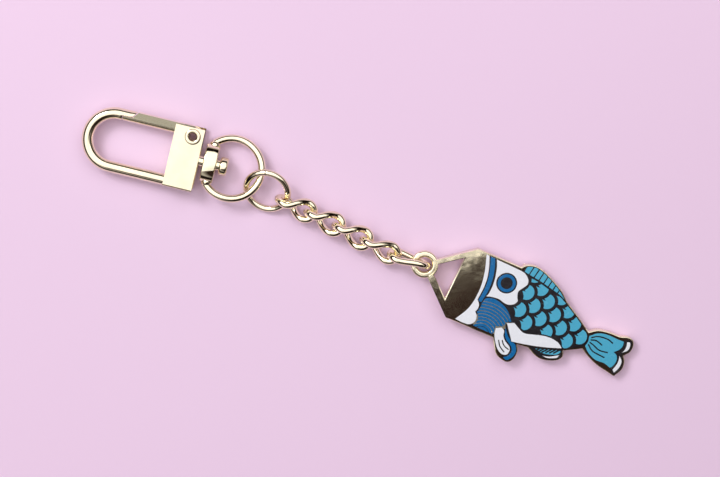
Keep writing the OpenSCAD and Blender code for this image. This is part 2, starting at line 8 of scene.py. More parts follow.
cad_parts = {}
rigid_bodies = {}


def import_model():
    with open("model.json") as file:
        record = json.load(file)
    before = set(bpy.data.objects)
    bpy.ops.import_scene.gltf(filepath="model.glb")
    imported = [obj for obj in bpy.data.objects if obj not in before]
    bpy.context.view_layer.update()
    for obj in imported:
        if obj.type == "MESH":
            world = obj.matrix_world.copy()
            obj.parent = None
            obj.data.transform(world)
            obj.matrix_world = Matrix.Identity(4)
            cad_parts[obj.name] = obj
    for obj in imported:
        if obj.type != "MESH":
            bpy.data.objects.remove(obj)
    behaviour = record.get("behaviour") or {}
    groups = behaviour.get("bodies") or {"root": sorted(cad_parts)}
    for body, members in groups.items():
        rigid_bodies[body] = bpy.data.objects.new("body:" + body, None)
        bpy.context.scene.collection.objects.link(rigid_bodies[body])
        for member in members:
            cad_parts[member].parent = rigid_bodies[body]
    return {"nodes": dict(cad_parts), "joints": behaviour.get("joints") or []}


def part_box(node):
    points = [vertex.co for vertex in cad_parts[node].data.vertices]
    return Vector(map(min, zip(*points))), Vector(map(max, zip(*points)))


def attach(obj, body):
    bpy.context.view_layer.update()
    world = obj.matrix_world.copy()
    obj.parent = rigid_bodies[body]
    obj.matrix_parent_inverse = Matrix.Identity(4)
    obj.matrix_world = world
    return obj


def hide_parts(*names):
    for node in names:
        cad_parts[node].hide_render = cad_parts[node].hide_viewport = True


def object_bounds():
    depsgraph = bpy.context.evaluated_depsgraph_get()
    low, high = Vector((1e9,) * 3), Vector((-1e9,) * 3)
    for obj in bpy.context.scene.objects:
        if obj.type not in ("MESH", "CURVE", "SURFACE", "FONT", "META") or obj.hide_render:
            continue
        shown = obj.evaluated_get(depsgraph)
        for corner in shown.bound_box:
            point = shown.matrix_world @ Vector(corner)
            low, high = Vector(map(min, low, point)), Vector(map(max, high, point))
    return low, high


bl_info = {
    "name": "Carp streamer key charm",
    "version": (1, 0, 0),
    "blender": (4, 5, 0),
    "location": "View3D > Sidebar > Charm",
    "description": "Finishes a gold-plated clasp, chain and enamelled carp charm round their CAD frame",
    "category": "Object",
}

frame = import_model()
CAD_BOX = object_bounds()
MM = 0.001
JOINTS = {j["name"]: j for j in frame["joints"]}


def joint_place(name):
    """Where a joint stands in the frame, in metres."""
    return Vector(JOINTS[name]["pos_m"])


def heading(degrees):
    """A level direction, so many degrees from the clasp's own."""
    return Vector((math.cos(math.radians(degrees)), math.sin(math.radians(degrees)), 0))


# The clasp lies along X: its bow's outer edge and the swivel's axis give its place
BOW_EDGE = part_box("hook_frame")[0].x
AXIS = joint_place("swivel")
LIE = AXIS.z
HOUSING_LOW, HOUSING_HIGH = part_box("housing")
RIVET_LOW, RIVET_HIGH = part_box("gate_rivet")
RIVET_HOLE, RIVET_SHANK, RIVET_ROUND = 0.7 * MM, 1.0 * MM, 0.28 * MM
STEM_ROUND = 0.42 * MM
STEM_LOW, STEM_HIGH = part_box("swivel_stem")


# ---- sizes and colours ----
class ClaspSizes(bpy.types.PropertyGroup):
    """Sizes of the clasp and its swivel."""

    wire: bpy.props.FloatProperty(
        name="Hook wire", description="Diameter of the hook's wire", default=2.1 * MM,
        min=0.0005, max=0.005, unit="LENGTH")
    bow_radius: bpy.props.FloatProperty(
        name="Bow radius", description="Radius of the bow to the middle of its wire", default=4.85 * MM,
        min=0.002, max=0.02, unit="LENGTH")
    nose: bpy.props.FloatProperty(
        name="Nose", description="Reach of the hook's nose past the bow's centre", default=3.8 * MM,
        min=0.001, max=0.01, unit="LENGTH")
    sheet: bpy.props.FloatProperty(
        name="Housing sheet", description="Thickness of the folded sheet of the housing",
        default=0.45 * MM, min=0.0002, max=0.001, unit="LENGTH")
    fold: bpy.props.FloatProperty(
        name="Fold radius", description="Outer radius where the sheet is folded", default=0.4 * MM,
        min=0.0001, max=0.001, unit="LENGTH")
    block_top: bpy.props.FloatProperty(
        name="Block top", description="How far the block between the plates goes past the clasp's axis",
        default=1.6 * MM, min=0.0, max=0.004, unit="LENGTH")
    eye_wire: bpy.props.FloatProperty(
        name="Eye wire", description="Wire diameter of the swivel eye", default=1.4 * MM,
        min=0.0005, max=0.003, unit="LENGTH")
    eye_radius: bpy.props.FloatProperty(
        name="Eye radius", description="Radius of the swivel eye to the middle of its wire",
        default=5.43 * MM, min=0.002, max=0.01, unit="LENGTH")
    eye_roll: bpy.props.FloatProperty(
        name="Eye roll", description="How far the swivel eye is turned on its stem",
        default=math.radians(-8), subtype="ANGLE")
    collar_length: bpy.props.FloatProperty(
        name="Collar length", description="Length of the eye's collar", default=2.4 * MM,
        min=0.001, max=0.005, unit="LENGTH")
    collar_width: bpy.props.FloatProperty(
        name="Collar width", description="Width of the eye's collar", default=7 * MM,
        min=0.003, max=0.01, unit="LENGTH")
    stem: bpy.props.FloatProperty(
        name="Stem", description="Diameter of the swivel's stem", default=1.9 * MM,
        min=0.001, max=0.003, unit="LENGTH")


class ChainSizes(bpy.types.PropertyGroup):
    """Sizes of the jump ring and the curb links."""

    ring_wire: bpy.props.FloatProperty(
        name="Ring wire", description="Wire diameter of the jump ring", default=1.2 * MM,
        min=0.0005, max=0.002, unit="LENGTH")
    ring_radius: bpy.props.FloatProperty(
        name="Ring radius", description="Radius of the jump ring to the middle of its wire",
        default=3.87 * MM, min=0.002, max=0.008, unit="LENGTH")
    ring_heading: bpy.props.FloatProperty(
        name="Ring heading", description="Direction that the jump ring is rolled about",
        default=math.radians(-13), subtype="ANGLE")
    ring_roll: bpy.props.FloatProperty(
        name="Ring roll", description="How far the jump ring leans where it passes over the eye",
        default=math.radians(28.022), subtype="ANGLE")
    ring_slit: bpy.props.FloatProperty(
        name="Slit", description="Where the jump ring's ends meet, in its own plane",
        default=math.radians(115), subtype="ANGLE")
    link_wire: bpy.props.FloatProperty(
        name="Link wire", description="Wire diameter of a curb link", default=1.3 * MM,
        min=0.0005, max=0.002, unit="LENGTH")
    link_reach: bpy.props.FloatProperty(
        name="Link reach", description="Length of a link between the middles of its end wires",
        default=7.05 * MM, min=0.004, max=0.012, unit="LENGTH")
    link_side: bpy.props.FloatProperty(
        name="Link half width", description="Half width of a link to the middle of its wire",
        default=1.7 * MM, min=0.001, max=0.004, unit="LENGTH")


class CharmSizes(bpy.types.PropertyGroup):
    """Edges of the plate and of the enamel."""

    rim_round: bpy.props.FloatProperty(
        name="Rim rounding", description="Radius of the plate's outer edges", default=0.14 * MM,
        min=0.0, max=0.0003, unit="LENGTH")
    enamel_edge: bpy.props.FloatProperty(
        name="Enamel edge", description="Radius of the enamel where it meets the gold lines",
        default=0.03 * MM, min=0.0, max=0.0001, unit="LENGTH")


class Finishes(bpy.types.PropertyGroup):
    """Colours of the plating, the enamel and the paper."""

    gold: bpy.props.FloatVectorProperty(
        name="Gold", description="Colour of the polished plating", subtype="COLOR",
        default=(0.93, 0.84, 0.62), min=0, max=1)
    satin: bpy.props.FloatVectorProperty(
        name="Satin gold", description="Colour of the gate's brushed plating", subtype="COLOR",
        default=(0.34, 0.31, 0.23), min=0, max=1)
    white: bpy.props.FloatVectorProperty(
        name="White enamel", description="Colour of the white enamel", subtype="COLOR",
        default=(0.86, 0.88, 0.97), min=0, max=1)
    blue: bpy.props.FloatVectorProperty(
        name="Blue enamel", description="Colour of the blue enamel", subtype="COLOR",
        default=(0.001, 0.14, 0.39), min=0, max=1)
    teal: bpy.props.FloatVectorProperty(
        name="Teal enamel", description="Colour of the teal enamel", subtype="COLOR",
        default=(0.08, 0.43, 0.64), min=0, max=1)
    black: bpy.props.FloatVectorProperty(
        name="Black enamel", description="Colour of the black enamel", subtype="COLOR",
        default=(0.012, 0.01, 0.014), min=0, max=1)
    paper: bpy.props.FloatVectorProperty(
        name="Paper", description="Colour of the floor", subtype="COLOR",
        default=(0.85, 0.63, 0.84), min=0, max=1)


GROUPS = (("charm_clasp", ClaspSizes), ("charm_chain", ChainSizes), ("charm_plate", CharmSizes),
          ("charm_finish", Finishes))


# ---- materials ----
def new_material(name):
    """A node material with its shader, object coordinates and links at hand."""
    mat = bpy.data.materials.new(name)
    mat.use_nodes = True
    tree = mat.node_tree
    shader = next(n for n in tree.nodes if n.type == "BSDF_PRINCIPLED")
    coords = tree.nodes.new("ShaderNodeTexCoord")
    return mat, tree, shader, coords


def noise(tree, coords, per_mm, detail, stretch=(1, 1, 1)):
    """Noise on object coordinates with so many features to the millimetre."""
    mapping = tree.nodes.new("ShaderNodeMapping")
    mapping.inputs["Scale"].default_value = stretch
    tex = tree.nodes.new("ShaderNodeTexNoise")
    tex.inputs["Scale"].default_value = per_mm / MM
    tex.inputs["Detail"].default_value = detail
    tree.links.new(coords.outputs["Object"], mapping.inputs["Vector"])
    tree.links.new(mapping.outputs["Vector"], tex.inputs["Vector"])
    return tex.outputs["Fac"]


def spread(tree, value, low, high, start=0.3, end=0.7):
    """A value from noise, brought to the range low to high."""
    node = tree.nodes.new("ShaderNodeMapRange")
    node.inputs["From Min"].default_value = start
    node.inputs["From Max"].default_value = end
    node.inputs["To Min"].default_value = low
    node.inputs["To Max"].default_value = high
    tree.links.new(value, node.inputs["Value"])
    return node.outputs["Result"]


def two_tones(tree, value, first, second):
    """A colour between two tones, as the value goes from 0 to 1."""
    ramp = tree.nodes.new("ShaderNodeValToRGB")
    ramp.color_ramp.elements[0].position = 0.3
    ramp.color_ramp.elements[0].color = (*first, 1)
    ramp.color_ramp.elements[1].position = 0.7
    ramp.color_ramp.elements[1].color = (*second, 1)
    tree.links.new(value, ramp.inputs["Fac"])
    return ramp.outputs["Color"]


def bump(tree, height, depth, normal=None, strength=1.0):
    """Bumps of a real depth in metres."""
    node = tree.nodes.new("ShaderNodeBump")
    node.inputs["Distance"].default_value = depth
    node.inputs["Strength"].default_value = strength
    tree.links.new(height, node.inputs["Height"])
    if normal:
        tree.links.new(normal, node.inputs["Normal"])
    return node.outputs["Normal"]


def shade(colour, factor):
    """The same hue, lighter or darker."""
    return tuple(min(1.0, c * factor) for c in colour)


def plating(name, colour, rough, grain, wave):
    """Gold plating: slow waves from polishing, fine specks, and patches that are a little duller."""
    mat, tree, shader, coords = new_material(name)
    shader.inputs["Metallic"].default_value = 1.0
    slow = noise(tree, coords, 0.35, 2)
    fine = noise(tree, coords, 9, 4)
    tones = two_tones(tree, slow, shade(colour, 0.93), shade(colour, 1.05))
    tree.links.new(tones, shader.inputs["Base Color"])
    tree.links.new(spread(tree, fine, rough * 0.7, rough * 1.5), shader.inputs["Roughness"])
    soft = bump(tree, slow, wave)
    tree.links.new(bump(tree, fine, grain, soft), shader.inputs["Normal"])
    return mat


def ground_face(mat, colour):
    """The level faces of polished plating ground to a dull, speckled grey gold."""
    tree = mat.node_tree
    shader = next(n for n in tree.nodes if n.type == "BSDF_PRINCIPLED")
    coords = next(n for n in tree.nodes if n.type == "TEX_COORD")
    facing = tree.nodes.new("ShaderNodeNewGeometry")
    parts = tree.nodes.new("ShaderNodeSeparateXYZ")
    tree.links.new(facing.outputs["Normal"], parts.inputs["Vector"])
    level = spread(tree, parts.outputs["Z"], 0, 1, 0.96, 0.99)
    grit = noise(tree, coords, 7, 6, (1, 1.6, 1))
    for socket, made in (("Base Color", two_tones(tree, grit, shade(colour, 0.6), shade(colour, 1.35))),
                         ("Roughness", spread(tree, grit, 0.3, 0.5))):
        before = shader.inputs[socket].links[0].from_socket
        mix = tree.nodes.new("ShaderNodeMix")
        mix.data_type = "RGBA" if socket == "Base Color" else "FLOAT"
        slot = 6 if socket == "Base Color" else 2
        tree.links.new(level, mix.inputs[0])
        tree.links.new(before, mix.inputs[slot])
        tree.links.new(made, mix.inputs[slot + 1])
        tree.links.new(mix.outputs[2 if socket == "Base Color" else 0], shader.inputs[socket])


def enamel(name, colour, lift):
    """Hard enamel: glassy, polished level, with a faint grain in the colour under the gloss."""
    mat, tree, shader, coords = new_material(name)
    cloud = noise(tree, coords, 1.2, 3)
    grain = noise(tree, coords, 14, 5)
    tree.links.new(two_tones(tree, grain, shade(colour, 1 - lift), shade(colour, 1 + lift)),
                   shader.inputs["Base Color"])
    tree.links.new(spread(tree, cloud, 0.16, 0.3), shader.inputs["Roughness"])
    tree.links.new(bump(tree, cloud, 0.012 * MM), shader.inputs["Normal"])
    shader.inputs["Coat Weight"].default_value = 0.5
    shader.inputs["Coat Roughness"].default_value = 0.08
    return mat


MATERIALS = {}


def material(slot):
    """The material of a slot, made once."""
    finish = bpy.context.scene.charm_finish
    if slot not in MATERIALS:
        if slot == "gold_polished":
            made = plating("Polished gold plating", finish.gold, 0.06, 0.0005 * MM, 0.012 * MM)
        elif slot == "gold_satin":
            made = plating("Satin gold plating", finish.gold, 0.12, 0.0006 * MM, 0.008 * MM)
            ground_face(made, finish.satin)
        elif slot == "spring_steel":
            made = plating("Spring steel", (0.5, 0.46, 0.4), 0.3, 0.002 * MM, 0.005 * MM)
        else:
            colour = slot.split("_")[1]
            made = enamel(colour.capitalize() + " enamel", getattr(finish, colour), 0.06)
        MATERIALS[slot] = made
    return MATERIALS[slot]


# ---- making and finishing pieces ----
def clear_selection():
    """Nothing selected, and no edit mode."""
    if bpy.context.object and bpy.context.object.mode != "OBJECT":
        bpy.ops.object.mode_set(mode="OBJECT")
    bpy.ops.object.select_all(action="DESELECT")


def take(obj):
    """Only this object selected and active."""
    clear_selection()
    obj.select_set(True)
    bpy.context.view_layer.objects.active = obj
    return obj


def apply_modifier(obj, kind, **settings):
    """Adds a modifier, sets it and applies it."""
    take(obj)
    mod = obj.modifiers.new(kind.title(), kind)
    for key, value in settings.items():
        setattr(mod, key, value)
    bpy.ops.object.modifier_apply(modifier=mod.name)


def pick(obj, kind, test):
    """In edit mode, only the faces, edges or vertices that pass the test are selected."""
    modes = {"vertices": "VERT", "edges": "EDGE", "polygons": "FACE"}
    bpy.ops.object.mode_set(mode="EDIT")
    bpy.ops.mesh.select_mode(type=modes[kind])
    bpy.ops.mesh.select_all(action="DESELECT")
    bpy.ops.object.mode_set(mode="OBJECT")
    for item in getattr(obj.data, kind):
        item.select = bool(test(item))
    bpy.ops.object.mode_set(mode="EDIT")


def edge_middle(obj, edge):
    """Middle of an edge."""
    a, b = (obj.data.vertices[v].co for v in edge.vertices)
    return (a + b) / 2


def edge_way(obj, edge):
    """Direction of an edge."""
    a, b = (obj.data.vertices[v].co for v in edge.vertices)
    return (b - a).normalized()


def merge(obj, distance=0.5e-6):
    """Doubles merged and faces turned outwards."""
    take(obj)
    bpy.ops.object.mode_set(mode="EDIT")
    bpy.ops.mesh.select_all(action="SELECT")
    bpy.ops.mesh.remove_doubles(threshold=distance)
    bpy.ops.mesh.normals_make_consistent(inside=False)
    bpy.ops.object.mode_set(mode="OBJECT")


def complete(obj, name, body, nodes, slot, angle=35, flat_faces=False, level=None):
    """The piece named, its place put into its mesh, smoothed, given its finish and its body."""
    take(obj)
    bpy.ops.object.transform_apply(location=True, rotation=True, scale=True)
    bpy.ops.object.shade_smooth_by_angle(angle=math.radians(angle))
    if flat_faces:
        apply_modifier(obj, "WEIGHTED_NORMAL", weight=80, keep_sharp=True)
    if level:
        pick(obj, "polygons", lambda f: abs(f.normal.dot(level)) > 0.9995)
        bpy.ops.mesh.faces_shade_flat()
        bpy.ops.object.mode_set(mode="OBJECT")
    obj.name = name
    obj.data.name = name
    obj.data.materials.clear()
    obj.data.materials.append(material(slot))
    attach(obj, body)
    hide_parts(*nodes)
    return obj


def wire(points, diameter, closed, sides=32):
    """Round wire along points, as a closed mesh."""
    clear_selection()
    bpy.ops.curve.primitive_nurbs_path_add(location=(0, 0, 0))
    obj = bpy.context.object
    curve = obj.data
    curve.splines.clear()
    line = curve.splines.new("POLY")
    line.points.add(len(points) - 1)
    for point, place in zip(line.points, points):
        point.co = (*place, 1)
    line.use_cyclic_u = closed
    curve.dimensions = "3D"
    curve.twist_mode = "MINIMUM"
    curve.bevel_depth = diameter / 2
    curve.bevel_resolution = (sides - 4) // 2
    curve.use_fill_caps = not closed
    bpy.ops.object.convert(target="MESH")
    obj = bpy.context.object
    merge(obj)
    return obj


def block(low, high):
    """A cube between two corners, its place in its mesh."""
    clear_selection()
    low, high = Vector(low), Vector(high)
    bpy.ops.mesh.primitive_cube_add(size=1, location=(low + high) / 2)
    obj = bpy.context.object
    obj.scale = high - low
    bpy.ops.object.transform_apply(location=True, rotation=True, scale=True)
    return obj


def join(*parts):
    """Several meshes as one object."""
    clear_selection()
    for part in parts:
        part.select_set(True)
    bpy.context.view_layer.objects.active = parts[0]
    bpy.ops.object.join()
    return bpy.context.object


def combine(obj, tool, operation):
    """A boolean with a tool that is used up."""
    apply_modifier(obj, "BOOLEAN", operation=operation, solver="EXACT", object=tool)
    bpy.data.objects.remove(tool, do_unlink=True)
    return obj


def prism(corners, low, high):
    """A flat outline made into a straight block from one height to another."""
    clear_selection()
    bpy.ops.mesh.primitive_circle_add(vertices=len(corners), radius=1, fill_type="NGON")
    obj = bpy.context.object
    for vertex, corner in zip(obj.data.vertices, corners):
        vertex.co = (corner[0], corner[1], low)
    bpy.ops.object.mode_set(mode="EDIT")
    bpy.ops.mesh.select_all(action="SELECT")
    bpy.ops.mesh.extrude_region_move(TRANSFORM_OT_translate={"value": (0, 0, high - low)})
    bpy.ops.mesh.select_all(action="SELECT")
    bpy.ops.mesh.normals_make_consistent(inside=False)
    bpy.ops.object.mode_set(mode="OBJECT")
    return obj


def turned(profile, place, way, steps=64):
    """A closed profile of (radius, height) spun round an axis through a place."""
    clear_selection()
    bpy.ops.mesh.primitive_circle_add(vertices=len(profile), radius=1, fill_type="NOTHING")
    obj = bpy.context.object
    for vertex, (radius, height) in zip(obj.data.vertices, profile):
        vertex.co = (radius, 0, height)
    bpy.ops.object.mode_set(mode="EDIT")
    bpy.ops.mesh.select_all(action="SELECT")
    bpy.ops.mesh.spin(steps=steps, angle=2 * math.pi, center=(0, 0, 0), axis=(0, 0, 1))
    bpy.ops.object.mode_set(mode="OBJECT")
    merge(obj, 1e-6)
    lean = Vector((0, 0, 1)).rotation_difference(way).to_matrix().to_4x4()
    obj.matrix_world = Matrix.Translation(place) @ lean
    take(obj)
    bpy.ops.object.transform_apply(location=True, rotation=True, scale=True)
    return obj


def rounded(points, corner, radius, steps=4):
    """A profile with the named corners rounded."""
    out = []
    for k, here in enumerate(points):
        if k not in corner:
            out.append(here)
            continue
        a, b = Vector(points[k - 1]), Vector(points[(k + 1) % len(points)])
        p = Vector(here)
        u, v = (a - p).normalized(), (b - p).normalized()
        centre = p + (u + v) * radius
        start, end = p + u * radius, p + v * radius
        for i in range(steps + 1):
            t = i / steps
            way = ((start - centre) * (1 - t) + (end - centre) * t).normalized()
            out.append(tuple(centre + way * radius))
    return out


def node_copy(node, clean=True):
    """A copy of a CAD node with its triangles merged, and where asked, made into clean faces."""
    take(frame["nodes"][node])
    bpy.ops.object.duplicate()
    obj = bpy.context.object
    bpy.ops.object.parent_clear(type="CLEAR_KEEP_TRANSFORM")
    for key in list(obj.keys()):
        del obj[key]
    obj.data.materials.clear()
    merge(obj)
    if clean:
        bpy.ops.object.mode_set(mode="EDIT")
        bpy.ops.mesh.select_all(action="SELECT")
        bpy.ops.mesh.dissolve_limited(angle_limit=math.radians(0.4))
        bpy.ops.object.mode_set(mode="OBJECT")
    return obj


# ---- clasp ----
def bow_points(sizes):
    """Middle line of the hook: the nose, round the bow, and the long bar into the housing."""
    centre = Vector((BOW_EDGE + sizes.bow_radius + sizes.wire / 2, AXIS.y, LIE))
    r = sizes.bow_radius
    points = [centre + Vector((sizes.nose, r, 0)), centre + Vector((sizes.nose * 0.5, r, 0))]
    steps = 56
    for k in range(steps + 1):
        a = math.radians(90 + 180 * k / steps)
        points.append(centre + Vector((r * math.cos(a), r * math.sin(a), 0)))
    points.append(Vector((HOUSING_LOW.x + 0.3 * MM, AXIS.y - r, LIE)))
    return points, centre


class CHARM_OT_hook(bpy.types.Operator):
    """The hook's bent wire with its slanted nose, and the block that it grows from"""

    bl_idname = "charm.hook"
    bl_label = "Hook"

    def execute(self, context):
        sizes = context.scene.charm_clasp
        points, centre = bow_points(sizes)
        hook = wire(points, sizes.wire, False, 40)
        r, w = sizes.bow_radius, sizes.wire
        tongue, nose = 0.44 * MM, sizes.nose - 1.08 * MM
        outline = [(tongue, r - w), (nose + 2 * MM, r - w), (nose + 2 * MM, r + w),
                   (nose + 0.5 * MM, r + w / 2 + 0.2 * MM), (nose - 0.55 * MM, r), (tongue, r)]
        cutter = prism([(centre.x + x, centre.y + y) for x, y in outline], LIE - w, LIE + w)
        combine(hook, cutter, "DIFFERENCE")
        apply_modifier(hook, "BEVEL", width=0.07 * MM, segments=2, limit_method="ANGLE",
                       angle_limit=math.radians(40))
        half = (HOUSING_HIGH.z - HOUSING_LOW.z) / 2 - sizes.sheet
        body = block((HOUSING_LOW.x, HOUSING_LOW.y + sizes.sheet, LIE - half),
                     (HOUSING_HIGH.x - 0.2 * MM, AXIS.y + sizes.block_top, LIE + half))
        apply_modifier(body, "BEVEL", width=0.08 * MM, segments=2)
        complete(join(hook, body), "Hook", "clasp", ["hook_frame"], "gold_polished", flat_faces=True)
        return {"FINISHED"}


class CHARM_OT_housing(bpy.types.Operator):
    """The housing, a sheet folded round the block and the gate's hub"""

    bl_idname = "charm.housing"
    bl_label = "Housing"

    def execute(self, context):
        sizes = context.scene.charm_clasp
        shell = block(HOUSING_LOW, HOUSING_HIGH)
        middle = (HOUSING_LOW + HOUSING_HIGH) / 2
        pick(shell, "polygons", lambda f: f.normal.y > 0.9 or abs(f.normal.x) > 0.9)
        bpy.ops.mesh.delete(type="ONLY_FACE")
        pick(shell, "edges", lambda e: abs(edge_way(shell, e).x) > 0.9
             and edge_middle(shell, e).y < middle.y)
        bpy.ops.mesh.bevel(offset=sizes.fold, segments=6, affect="EDGES")
        bpy.ops.object.mode_set(mode="OBJECT")
        apply_modifier(shell, "SOLIDIFY", thickness=sizes.sheet, offset=-1, use_even_offset=True)
        pivot = joint_place("gate_hinge")
        clear_selection()
        bpy.ops.mesh.primitive_cylinder_add(vertices=64, radius=RIVET_SHANK, depth=8 * MM, location=pivot)
        combine(shell, bpy.context.object, "DIFFERENCE")
        apply_modifier(shell, "BEVEL", width=0.09 * MM, segments=3, limit_method="ANGLE",
                       angle_limit=math.radians(50))
        complete(shell, "Housing", "clasp", ["housing"], "gold_polished", flat_faces=True)
        return {"FINISHED"}


class CHARM_OT_gate(bpy.types.Operator):
    """The spring gate, round on its inner side and flat on its face"""

    bl_idname = "charm.gate"
    bl_label = "Gate"

    def execute(self, context):
        gate = node_copy("gate")
        apply_modifier(gate, "BEVEL", width=0.1 * MM, segments=2, limit_method="ANGLE",
                       angle_limit=math.radians(50))
        complete(gate, "Gate", "gate", ["gate"], "gold_satin", 40, True)
        return {"FINISHED"}


class CHARM_OT_rivet(bpy.types.Operator):
    """The hollow rivet with its two rolled heads, and the gate's spring"""

    bl_idname = "charm.rivet"
    bl_label = "Rivet and spring"

    def execute(self, context):
        pivot = joint_place("gate_hinge")
        half = (RIVET_HIGH.z - RIVET_LOW.z) / 2
        plate = (HOUSING_HIGH.z - HOUSING_LOW.z) / 2
        head = (RIVET_HIGH.x - RIVET_LOW.x) / 2
        hole, shank = RIVET_HOLE, RIVET_SHANK
        profile = [(hole, -half), (head, -half), (head, -plate), (shank, -plate),
                   (shank, plate), (head, plate), (head, half), (hole, half)]
        profile = rounded(profile, (0, 1, 6, 7), RIVET_ROUND, 6)
        rivet = turned(profile, pivot, Vector((0, 0, 1)))
        complete(rivet, "Rivet", "clasp", ["gate_rivet"], "gold_polished", 50)
        spring = frame["nodes"]["gate_spring"]
        spring.data.materials.clear()
        spring.data.materials.append(material("spring_steel"))
        return {"FINISHED"}


class CHARM_OT_stem(bpy.types.Operator):
    """The swivel's turned stem with its rounded head"""

    bl_idname = "charm.stem"
    bl_label = "Swivel stem"

    def execute(self, context):
        sizes = context.scene.charm_clasp
        length = STEM_HIGH.x - STEM_LOW.x
        head = (STEM_HIGH.z - STEM_LOW.z) / 2
        neck = length - 1.5 * MM
        r = sizes.stem / 2
        profile = [(0, 0), (r, 0), (r, neck), (head, neck), (head, length), (0, length)]
        profile = rounded(profile, (3, 4), STEM_ROUND, 6)
        stem = turned(profile, Vector((STEM_LOW.x, AXIS.y, LIE)), Vector((1, 0, 0)))
        complete(stem, "Swivel_stem", "clasp", ["swivel_stem"], "gold_polished", 40)
        return {"FINISHED"}


class CHARM_OT_eye(bpy.types.Operator):
    """The swivel eye: a round wire whose ends grow out of an oval collar on the stem"""

    bl_idname = "charm.eye"
    bl_label = "Swivel eye"

    def execute(self, context):
        sizes = context.scene.charm_clasp
        centre = joint_place("ring_round_eye")
        r, w = sizes.eye_radius, sizes.eye_wire
        arc = math.pi - math.asin((sizes.collar_width / 2 + 0.2 * MM) / r)
        steps = 80
        ring = wire([centre + r * Vector((math.cos(a), math.sin(a), 0))
                     for a in (arc * (2 * k / steps - 1) for k in range(steps + 1))], w, False, 32)
        clear_selection()
        bpy.ops.mesh.primitive_cylinder_add(vertices=96, radius=0.5, depth=1, rotation=(0, math.pi / 2, 0),
                                            location=(AXIS.x, AXIS.y, LIE))
        collar = bpy.context.object
        collar.scale = (sizes.collar_width * 0.63, sizes.collar_width, sizes.collar_length)
        bpy.ops.object.transform_apply(location=True, rotation=True, scale=True)
        apply_modifier(collar, "BEVEL", width=0.22 * MM, segments=4, limit_method="ANGLE",
                       angle_limit=math.radians(50))
        eye = combine(collar, ring, "UNION")
        for side in (-1, 1):
            clear_selection()
            bpy.ops.mesh.primitive_uv_sphere_add(
                segments=32, ring_count=20, radius=w * 0.68,
                location=(AXIS.x + 0.1 * MM, AXIS.y + side * (sizes.collar_width / 2 - 0.15 * MM), LIE))
            eye = combine(eye, bpy.context.object, "UNION")
        clear_selection()
        bpy.ops.mesh.primitive_cylinder_add(vertices=64, radius=sizes.stem / 2 + 0.06 * MM, depth=6 * MM,
                                            rotation=(0, math.pi / 2, 0), location=(AXIS.x, AXIS.y, LIE))
        eye = combine(eye, bpy.context.object, "DIFFERENCE")
        spin = Matrix.Rotation(sizes.eye_roll, 4, "X")
        eye.matrix_world = Matrix.Translation(AXIS) @ spin @ Matrix.Translation(-AXIS)
        complete(eye, "Swivel_eye", "eye", ["swivel_eye"], "gold_polished", 30)
        return {"FINISHED"}


# ---- chain ----
class CHARM_OT_jump_ring(bpy.types.Operator):
    """The jump ring, bent round until its two ends meet"""

    bl_idname = "charm.jump_ring"
    bl_label = "Jump ring"

    def execute(self, context):
        sizes = context.scene.charm_chain
        low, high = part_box("jump_ring")
        turn = (Matrix.Translation((low + high) / 2) @ Matrix.Rotation(sizes.ring_heading, 4, "Z")
                @ Matrix.Rotation(sizes.ring_roll, 4, "X"))
        gap = 0.03 * MM / sizes.ring_radius
        steps = 96
        points = []
        for k in range(steps + 1):
            a = sizes.ring_slit + gap + (2 * math.pi - 2 * gap) * k / steps
            points.append(turn @ Vector((sizes.ring_radius * math.cos(a),
                                         sizes.ring_radius * math.sin(a), 0)))
        ring = wire(points, sizes.ring_wire, False, 28)
        apply_modifier(ring, "BEVEL", width=0.05 * MM, segments=2, limit_method="ANGLE",
                       angle_limit=math.radians(50))
        complete(ring, "Jump_ring", "jump_ring", ["jump_ring"], "gold_polished", 40)
        return {"FINISHED"}


LINK_ROLL = (100, 90, 90, 90, 108)
LINK_TWIST = (90, 90, 90, 75, 18)
LINK_HEADING = (-11, -12.1, -13.2, -14.3, -3.5)


def link_line(sizes, roll, twist):
    """Middle line of a link about its centre: a long oval whose plane twists over its straight part."""
    side, half = sizes.link_side, sizes.link_reach / 2 - sizes.link_side
    ends, sides = 18, 16
    flat = [(half + side * math.cos(a), side * math.sin(a))
            for a in (math.radians(90 - 180 * k / ends) for k in range(ends))]
    flat += [(half - 2 * half * k / sides, -side) for k in range(sides)]
    flat += [(-x, -y) for x, y in flat]
    points = []
    for x, y in flat:
        t = min(1, max(0, (x + half) / (2 * half)))
        eased = 0.4 * t + 0.6 * t * t * (3 - 2 * t)
        a = math.radians(roll - twist * eased)
        points.append(Vector((x, y * math.cos(a), y * math.sin(a))))
    return points


def link_centre(number, sizes):
    """Middle of a link, from the joints that its neighbours turn on."""
    way = heading(LINK_HEADING[number])
    half = sizes.link_reach / 2
    step = sizes.link_reach - sizes.link_wire - 0.1 * MM
    if number == 0:
        return joint_place("link_2_turn") - way * (step - half)
    if number in (1, 3):
        return joint_place("link_%d_turn" % (number + 1)) + way * half
    if number == 2:
        return joint_place("link_2_turn") + heading(LINK_HEADING[1]) * step + way * half
    return joint_place("charm_turn") - way * half


